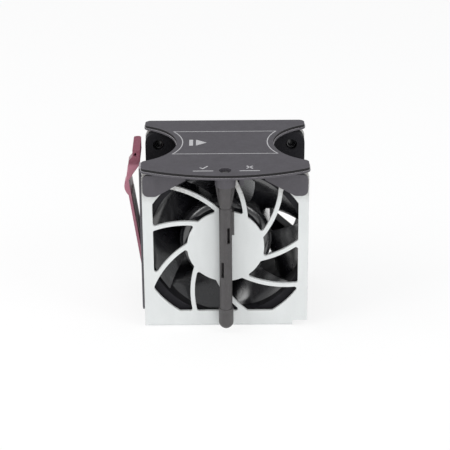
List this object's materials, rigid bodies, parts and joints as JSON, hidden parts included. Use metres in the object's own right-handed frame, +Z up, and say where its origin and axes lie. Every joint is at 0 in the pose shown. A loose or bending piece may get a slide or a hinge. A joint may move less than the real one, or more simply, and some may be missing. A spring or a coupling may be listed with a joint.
{
  "type": "server fan module",
  "caption": "Hot-swap axial fan in a bent steel bracket with a swirled guard, finger handle, light pipe, sprung latch lever and blind-mate connector.",
  "frame": {"origin": "middle of the bracket's underside, below the rotor's axis", "axes": "+Z up out of the slot, -Y is the guard and air inlet side, +X to the right seen from the guard; the rotor turns about Y"},
  "size_m": [0.0672, 0.0534, 0.0651],
  "materials": {
    "galvanised_sheet": "zinc-coated sheet, fine satin",
    "grey_plastic": "fine matt texture",
    "cover_plastic": "fine matt texture",
    "burgundy_plastic": "satin",
    "black_plastic": "moulded, slight sheen",
    "clear_plastic": "clear polished",
    "isolator_rubber": "matt",
    "spring_steel": "bare",
    "turned_steel": "ground",
    "brass_turned": "turned",
    "core_steel": "stacked laminations",
    "copper_wire": "enamelled windings",
    "magnet_dark": "bonded magnet",
    "board_green": "solder mask",
    "chip_black": "epoxy",
    "capacitor_can": "sleeved can",
    "insulator_nylon": "natural nylon",
    "connector_plastic": "moulded",
    "lead_sleeving": "pvc"
  },
  "bodies": {
    "module": {"steel_bracket": "galvanised_sheet", "corner_isolators": "isolator_rubber", "floor_isolators": "isolator_rubber", "fan_frame": "black_plastic", "fan_rivets": "black_plastic", "bearing_tube": "brass_turned", "bearing_outer_rings": "turned_steel", "bearing_balls": "turned_steel", "bearing_spacer": "brass_turned", "preload_spring": "spring_steel", "stator_core": "core_steel", "stator_insulators": "insulator_nylon", "stator_coils": "copper_wire", "motor_board": "board_green", "driver_chip": "chip_black", "hall_sensor": "chip_black", "filter_capacitor": "capacitor_can", "handle": "grey_plastic", "latch_pin": "turned_steel", "light_pipe_cover": "cover_plastic", "light_pipe": "clear_plastic", "connector_housing": "connector_plastic", "connector_contacts": "brass_turned", "connector_screws": "turned_steel", "lead_wires": "lead_sleeving"},
    "rotor": {"impeller": "black_plastic", "rotor_yoke": "turned_steel", "magnet_ring": "magnet_dark", "shaft_boss": "brass_turned", "rotor_shaft": "turned_steel", "retaining_clip": "spring_steel", "bearing_inner_rings": "turned_steel"},
    "latch": {"latch_lever": "burgundy_plastic", "latch_leaf": "spring_steel"}
  },
  "joints": [
    {"name": "rotor_spin", "type": "hinge", "parent": "module", "child": "rotor", "pos_m": [0, 0, 0.0327], "axis": [0, 1, 0], "continuous": true},
    {"name": "latch_squeeze", "type": "hinge", "parent": "module", "child": "latch", "pos_m": [-0.0282, -0.0001, 0.0122], "axis": [0, 1, 0], "range_deg": [0, 5], "stiffness_Nm_per_rad": 0.4, "springref_deg": -4.58}
  ]
}
